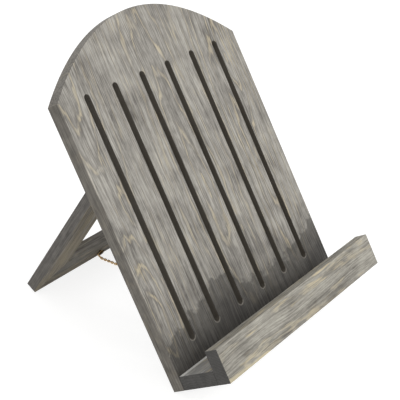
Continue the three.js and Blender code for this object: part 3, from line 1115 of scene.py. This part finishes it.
@dataclass
class Ledge:
    """The shelf and the lip that hold the book."""

    shelf_seam: float = -0.15
    lip_seam: float = -41.85
    shelf_figures: tuple[Figure, ...] = (Figure(-8, -60, 9), Figure(-2, 70, 7))
    lip_figures: tuple[Figure, ...] = (
        Figure(-13, 88, 4.5, 5),
        Figure(-36, -75, 10, 6.5),
        Figure(2, -20, 11, 7),
    )

    def build(self, frame: dict) -> None:
        """Dress the shelf, the lip and the dowels between them, and add the glue.
        """
        # The shelf is rubbed palest by books, and the lip keeps more of its wash.
        shelf = (1.3, self.shelf_figures, "#C4C3C0", "#7F7D79")
        lip = (2.7, self.lip_figures, "#B3AFA4", "#625E57")
        bars = (("shelf", shelf, Mark.RUBBED_STRIP), ("lip", lip, Mark.WORN_FOOT))
        for name, looks, mark in bars:
            finish = WashedPine(
                f"gray-washed pine, ledge {name}",
                Place.BOARD,
                Grain.SIDEWAYS,
                *looks,
                sawn_light="#565452",
                sawn_dark="#3D3C3A",
                sawn_strength=1.0,
                cream_strength=0.85,
                dashes=0.85,
                marks=(mark,),
            )
            dress(frame, [f"ledge_{name}"], finish.build())
        beech = bare_beech("beech dowel, bare", Place.BOARD, 4.0)
        dress(frame, numbered("lip_dowel", 3), beech)
        glue = DriedGlue().build()
        for name, y in (("shelf", self.shelf_seam), ("lip", self.lip_seam)):
            seam = GlueSeam(f"glue_behind_{name}", y).build(glue)
            place_on(seam, "board", [])
        LOG.info("ledge: shelf, lip, three dowels and two glued joints")


@dataclass
class FrameLeg:
    """The mitred frame that props the board, in millimetres in its own frame."""

    half_width: float = 92.0
    wiped_rail: float = -173.0
    wiped_stile: float = -30.0

    def build(self, frame: dict) -> None:
        """Dress the four bars and their dowels.
        """
        # Thicker wash than on the board leaves the bars plainer and darker. The foot rail's tones
        # are darker still, as painted shade from the board above it.
        level, up, wiped = Grain.SIDEWAYS, Grain.UPRIGHT, (Mark.WIPED_FRONT,)
        bars = {
            "foot rail": (level, 5.1, (196, 30), "#8E8A83", "#4C4843", wiped, self.wiped_rail),
            "top rail": (level, 6.3, (20, -40), "#A29C93", "#56524C", (), 0.0),
            "stile left": (up, 7.7, (-74, -120), "#A39D95", "#57534E", wiped, self.wiped_stile),
            "stile right": (up, 8.9, (78, -70), "#A29C93", "#56524C", (), 0.0),
        }
        for name, (grain, seed, middle, light, dark, marks, below) in bars.items():
            finish = WashedPine(
                f"gray-washed pine, leg {name}",
                Place.LEG,
                grain,
                seed,
                (Figure(*middle, 8),),
                light,
                dark,
                sawn_light="#77736F",
                sawn_dark="#4E4C49",
                cream_strength=0.4,
                half_width_mm=self.half_width,
                marks=marks,
                wiped_below_mm=below,
            )
            dress(frame, [f"leg_{name.replace(' ', '_')}"], finish.build())
        corners = [f"mitre_dowel_{end}_{side}" for end in ("top", "foot") for side in SIDES]
        dress(frame, corners, bare_beech("beech mitre dowel, bare", Place.LEG, 9.5))
        LOG.info("leg: four mitred bars and their dowels")


@dataclass
class Hardware:
    """Hinges, screws, end links and chain, in millimetres."""

    hinge_screw: ScrewSize = ScrewSize(1.1, 2.2, 1.1, 8, 2, 2.3, 0.5, 0.8)
    ledge_screw: ScrewSize = ScrewSize(1.75, 3.5, 2.6, 30, 4, 3.8, 0.8, 1.6)
    chain_screw: ScrewSize = ScrewSize(1.2, 4, 1.6, 8, 2, 9, 0.9, 0.9, 2.4, True)
    hinge_screw_xs: tuple[float, ...] = (-83.5, -68.5, 68.5, 83.5)
    ledge_screw_xs: tuple[float, ...] = (-99, -33, 33, 99)
    board_hook: tuple[float, ...] = (10, 14.95, 9.15)
    leg_hook: tuple[float, ...] = (0, 0.65, -177.45)
    end_link: LinkSize = LinkSize(0.45, 1.95, 3.7)
    chain_link: LinkSize = LinkSize(0.47, 0.95, 1.34)
    chain_pitch: float = 2.3
    rest_height: float = 1.2425
    drop_run: float = 3.0
    end_hold: float = 0.65
    stretches: tuple[float, ...] = (0, 0.03, 0.1, 0.3, 0.5, 0.7, 0.9, 0.97, 1)

    def build(self, frame: dict) -> None:
        """Dress the hinges, and make the screws and the chain again.
        """
        # Lacquer keeps the stamped leaves a bright gold.
        brass = DrawnMetal("brass, stamped and lacquered", "#C9A964", "#A5843F", 0.28).build()
        parts = ("board_leaf", "pin", "leg_leaf")
        dress(frame, [f"hinge_{side}_{part}" for side in SIDES for part in parts], brass)
        self._screws(brass)
        self._chain()

    def _screws(self, brass: Finish) -> None:
        """Make the screws with their drives.

        Args:
            brass: The hinge screws' finish.
        """
        # The near-black brown is partly tarnish on the unlacquered brass and partly painted shade
        # under the board, so a head reads as a dark spot on the wood.
        tarnish_and_shade = DrawnMetal("brass screw, darkened", "#4A3819", "#2A2010", 0.42).build()
        # Zinc plating gives the ledge screws a cool pale shine.
        steel = DrawnMetal("zinc-plated steel screw", "#B9BABA", "#9A9B9A", 0.3).build()
        hinge, hinge_xs = self.hinge_screw, self.hinge_screw_xs
        back, board, leg = BOARD_THICK, Place.BOARD, Place.LEG
        maker = ScrewMaker()
        for name, size, place, xs, y, z, finish, slot, nodes in (
            ("ledge_screws", self.ledge_screw, board, self.ledge_screw_xs, back, back / 2)
            + (steel, "screw_steel", numbered("ledge_screw", 4)),
            ("board_leaf_screws", hinge, board, hinge_xs, 14.6, 183.6)
            + (brass, "hinge_brass", numbered("board_leaf_screw", 4)),
            ("leg_leaf_screws", hinge, leg, hinge_xs, 1.0, -8.5)
            + (brass, "hinge_brass", numbered("leg_leaf_screw", 4)),
            ("chain_screw_on_board", self.chain_screw, board, (10,), back, 11)
            + (tarnish_and_shade, "aged_brass", ["chain_screw_board"]),
            ("chain_screw_on_leg", self.chain_screw, leg, (0,), 2.3, -175.6)
            + (tarnish_and_shade, "aged_brass", ["chain_screw_leg"]),
        ):
            points = [place.point(x, y, z) for x in xs]
            others = {"Domed": size.domed, "Turn": place.screw_turn, "Material": finish}
            piece = maker.make(name, size, points, False, others)
            place_on(piece, place.body, nodes)

    def _chain(self) -> None:
        """Make the chain and its end links."""
        # Bare drawn wire darkens between the links and stays pale gold where they rub.
        wire = DrawnMetal("brass chain wire, darkened", "#EACD98", "#C29E68", 0.45).build()
        maker, tips = LinkMaker(), []
        others = {"Count": 1, "First Link": 0, "Last Link": 0, "Roll": math.pi / 2}
        others["Material"] = wire
        for place, (x, y, z) in ((Place.BOARD, self.board_hook), (Place.LEG, self.leg_hook)):
            line = [place.point(x, y, z + dz) for dz in (0.1, -0.1)]
            name = f"end_link_on_{place.body}"
            piece = maker.make(name, self.end_link, line, True, others)
            place_on(piece, place.body, [f"chain_end_link_{place.body}"])
            half = self.end_link.straight / 2 + self.end_link.end_radius
            tips.append(place.point(x, y, z - half))
        line = self._lay(*tips)
        length = sum((b - a).length for a, b in zip(line, line[1:]))
        count = 2 * round(length / (self.chain_pitch * MM) / 2) + 1
        middles = [along(line, (i + 0.5) / count) for i in range(count)]
        bounds = [round(share * (count - 1)) for share in self.stretches]
        for number, (first, last) in enumerate(zip(bounds, bounds[1:]), 1):
            others |= {"Count": count, "First Link": first + (number > 1), "Last Link": last}
            name = f"limit_chain_{number}"
            piece = maker.make(name, self.chain_link, middles, True, others | {"Roll": 0.0})
            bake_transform(piece)
            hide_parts("limit_chain")
        LOG.info("chain: %d links in %d stretches", count, len(bounds) - 1)

    def _lay(self, board_tip: Vector, leg_tip: Vector) -> list[Vector]:
        """Lay the chain: down from each end link, and along the table between them.

        Args:
            board_tip: The lowest point of the board's end link.
            leg_tip: The lowest point of the leg's end link.

        Returns:
            The line through the links' middles, from the board to the leg.
        """
        rest, drop = self.rest_height * MM, self.drop_run * MM
        table = [
            Vector((board_tip.x, board_tip.y + drop, rest)),
            Vector((leg_tip.x, leg_tip.y - drop, rest)),
        ]
        hold = self.end_hold * MM
        ends = [
            tip + (tip - foot).normalized() * hold
            for tip, foot in zip((board_tip, leg_tip), table)
        ]
        lifting = rounded(ends[0], table[0], table[1])
        landing = rounded(table[0], table[1], ends[1])
        return [ends[0], *lifting, *landing, ends[1]]


@dataclass
class Studio:
    """Camera, lamps, floor and world."""

    eye: tuple[float, ...] = (-0.77324470, -0.53623894, 0.60772395)
    right: tuple[float, ...] = (0.58945016, -0.80602687, 0.05356481)
    down: tuple[float, ...] = (-0.34864949, -0.31366257, -0.88320967)
    ahead: tuple[float, ...] = (0.72869201, 0.50193274, -0.46590930)
    lens_mm: float = 100.6465
    floor_reach: float = 4.0

    def build(self) -> None:
        """Build the studio."""
        self._camera()
        self._floor()
        self._lamps()
        self._world()
        LOG.info("studio: camera, floor, lamps and world")

    def _camera(self) -> None:
        """Add the camera, fitted to the photograph."""
        data = bpy.data.cameras.new("photo camera")
        data.lens = self.lens_mm
        data.sensor_width = 36.0
        data.clip_start = 0.05
        camera = show("photo camera", data)
        axes = (Vector(self.right), -Vector(self.down), -Vector(self.ahead))
        turn = Matrix(axes).transposed().to_4x4()
        camera.matrix_world = Matrix.Translation(self.eye) @ turn
        bpy.context.scene.camera = camera

    def _seen(self, tree: Tree) -> Node:
        """Find where the background is seen: by the camera, in gloss or through glass.

        Args:
            tree: The tree of the floor's material or of the world.

        Returns:
            One for such rays, and zero for those that light the object.
        """
        rays = put(tree, "ShaderNodeLightPath").outputs
        seen = rays["Is Camera Ray"]
        for other in ("Is Glossy Ray", "Is Transmission Ray"):
            seen = put(tree, Do.MAXIMUM, seen, rays[other])
        return seen

    def _floor(self) -> None:
        """Add a white sheet under the stand, that keeps the stand's soft shadow."""
        # Matt paper: it glows nearly white where it is seen, and a shadow still grays it.
        material, tree = fresh_material("white sheet")
        white = put(tree, "ShaderNodeBsdfDiffuse", linear("#F2F2F0"))
        pale = put(tree, "ShaderNodeBsdfDiffuse", linear("#A0A09F"))
        glow = put(tree, "ShaderNodeEmission", named={"Strength": 0.82})
        both = put(tree, "ShaderNodeAddShader", pale, glow)
        mix = put(tree, "ShaderNodeMixShader", self._seen(tree), white, both)
        put(tree, "ShaderNodeOutputMaterial", mix)
        mesh, far = bpy.data.meshes.new("floor"), self.floor_reach
        corners = [(-far, -far, 0), (far, -far, 0), (far, far, 0), (-far, far, 0)]
        mesh.from_pydata(corners, [], [(0, 1, 2, 3)])
        mesh.materials.append(material)
        show("floor", mesh)

    def _lamps(self) -> None:
        """Add a large soft key from the front and above, a weaker fill and one behind."""
        lamps = {
            "key": ((0.9, -1.5, 1.7), 1.3, 23.0),
            "fill": ((-1.3, -1.3, 1.2), 1.2, 4.5),
            "back": ((0.3, 1.6, 1.3), 1.2, 7.5),
        }
        for name, (place, size, power) in lamps.items():
            data = bpy.data.lights.new(name, "AREA")
            data.shape, data.size, data.energy = "DISK", size, power
            lamp = show(name, data)
            lamp.location = place
            aim = Vector((0, 0, 0.12)) - Vector(place)
            lamp.rotation_euler = aim.to_track_quat("-Z", "Y").to_euler()

    def _world(self) -> None:
        """Add a surround that is white where it is seen, and a soft even fill."""
        world = bpy.data.worlds.new("studio")
        world.use_nodes = True
        tree = world.node_tree
        tree.nodes.clear()
        level = put(tree, RANGE, self._seen(tree), 0.0, 1.0, 0.56, 1.0)
        sky = put(tree, "ShaderNodeBackground", (1, 1, 1, 1), level)
        put(tree, "ShaderNodeOutputWorld", sky)
        bpy.context.scene.world = world


def main() -> None:
    """Build the looks of the stand, one sub-assembly after another."""
    logging.basicConfig(level=logging.INFO, format="%(message)s")
    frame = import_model()
    bpy.context.scene.view_settings.view_transform = "Standard"
    for part in (BackBoard(), Ledge(), FrameLeg(), Hardware()):
        part.build(frame)
    Studio().build()


if __name__ == "__main__":
    main()
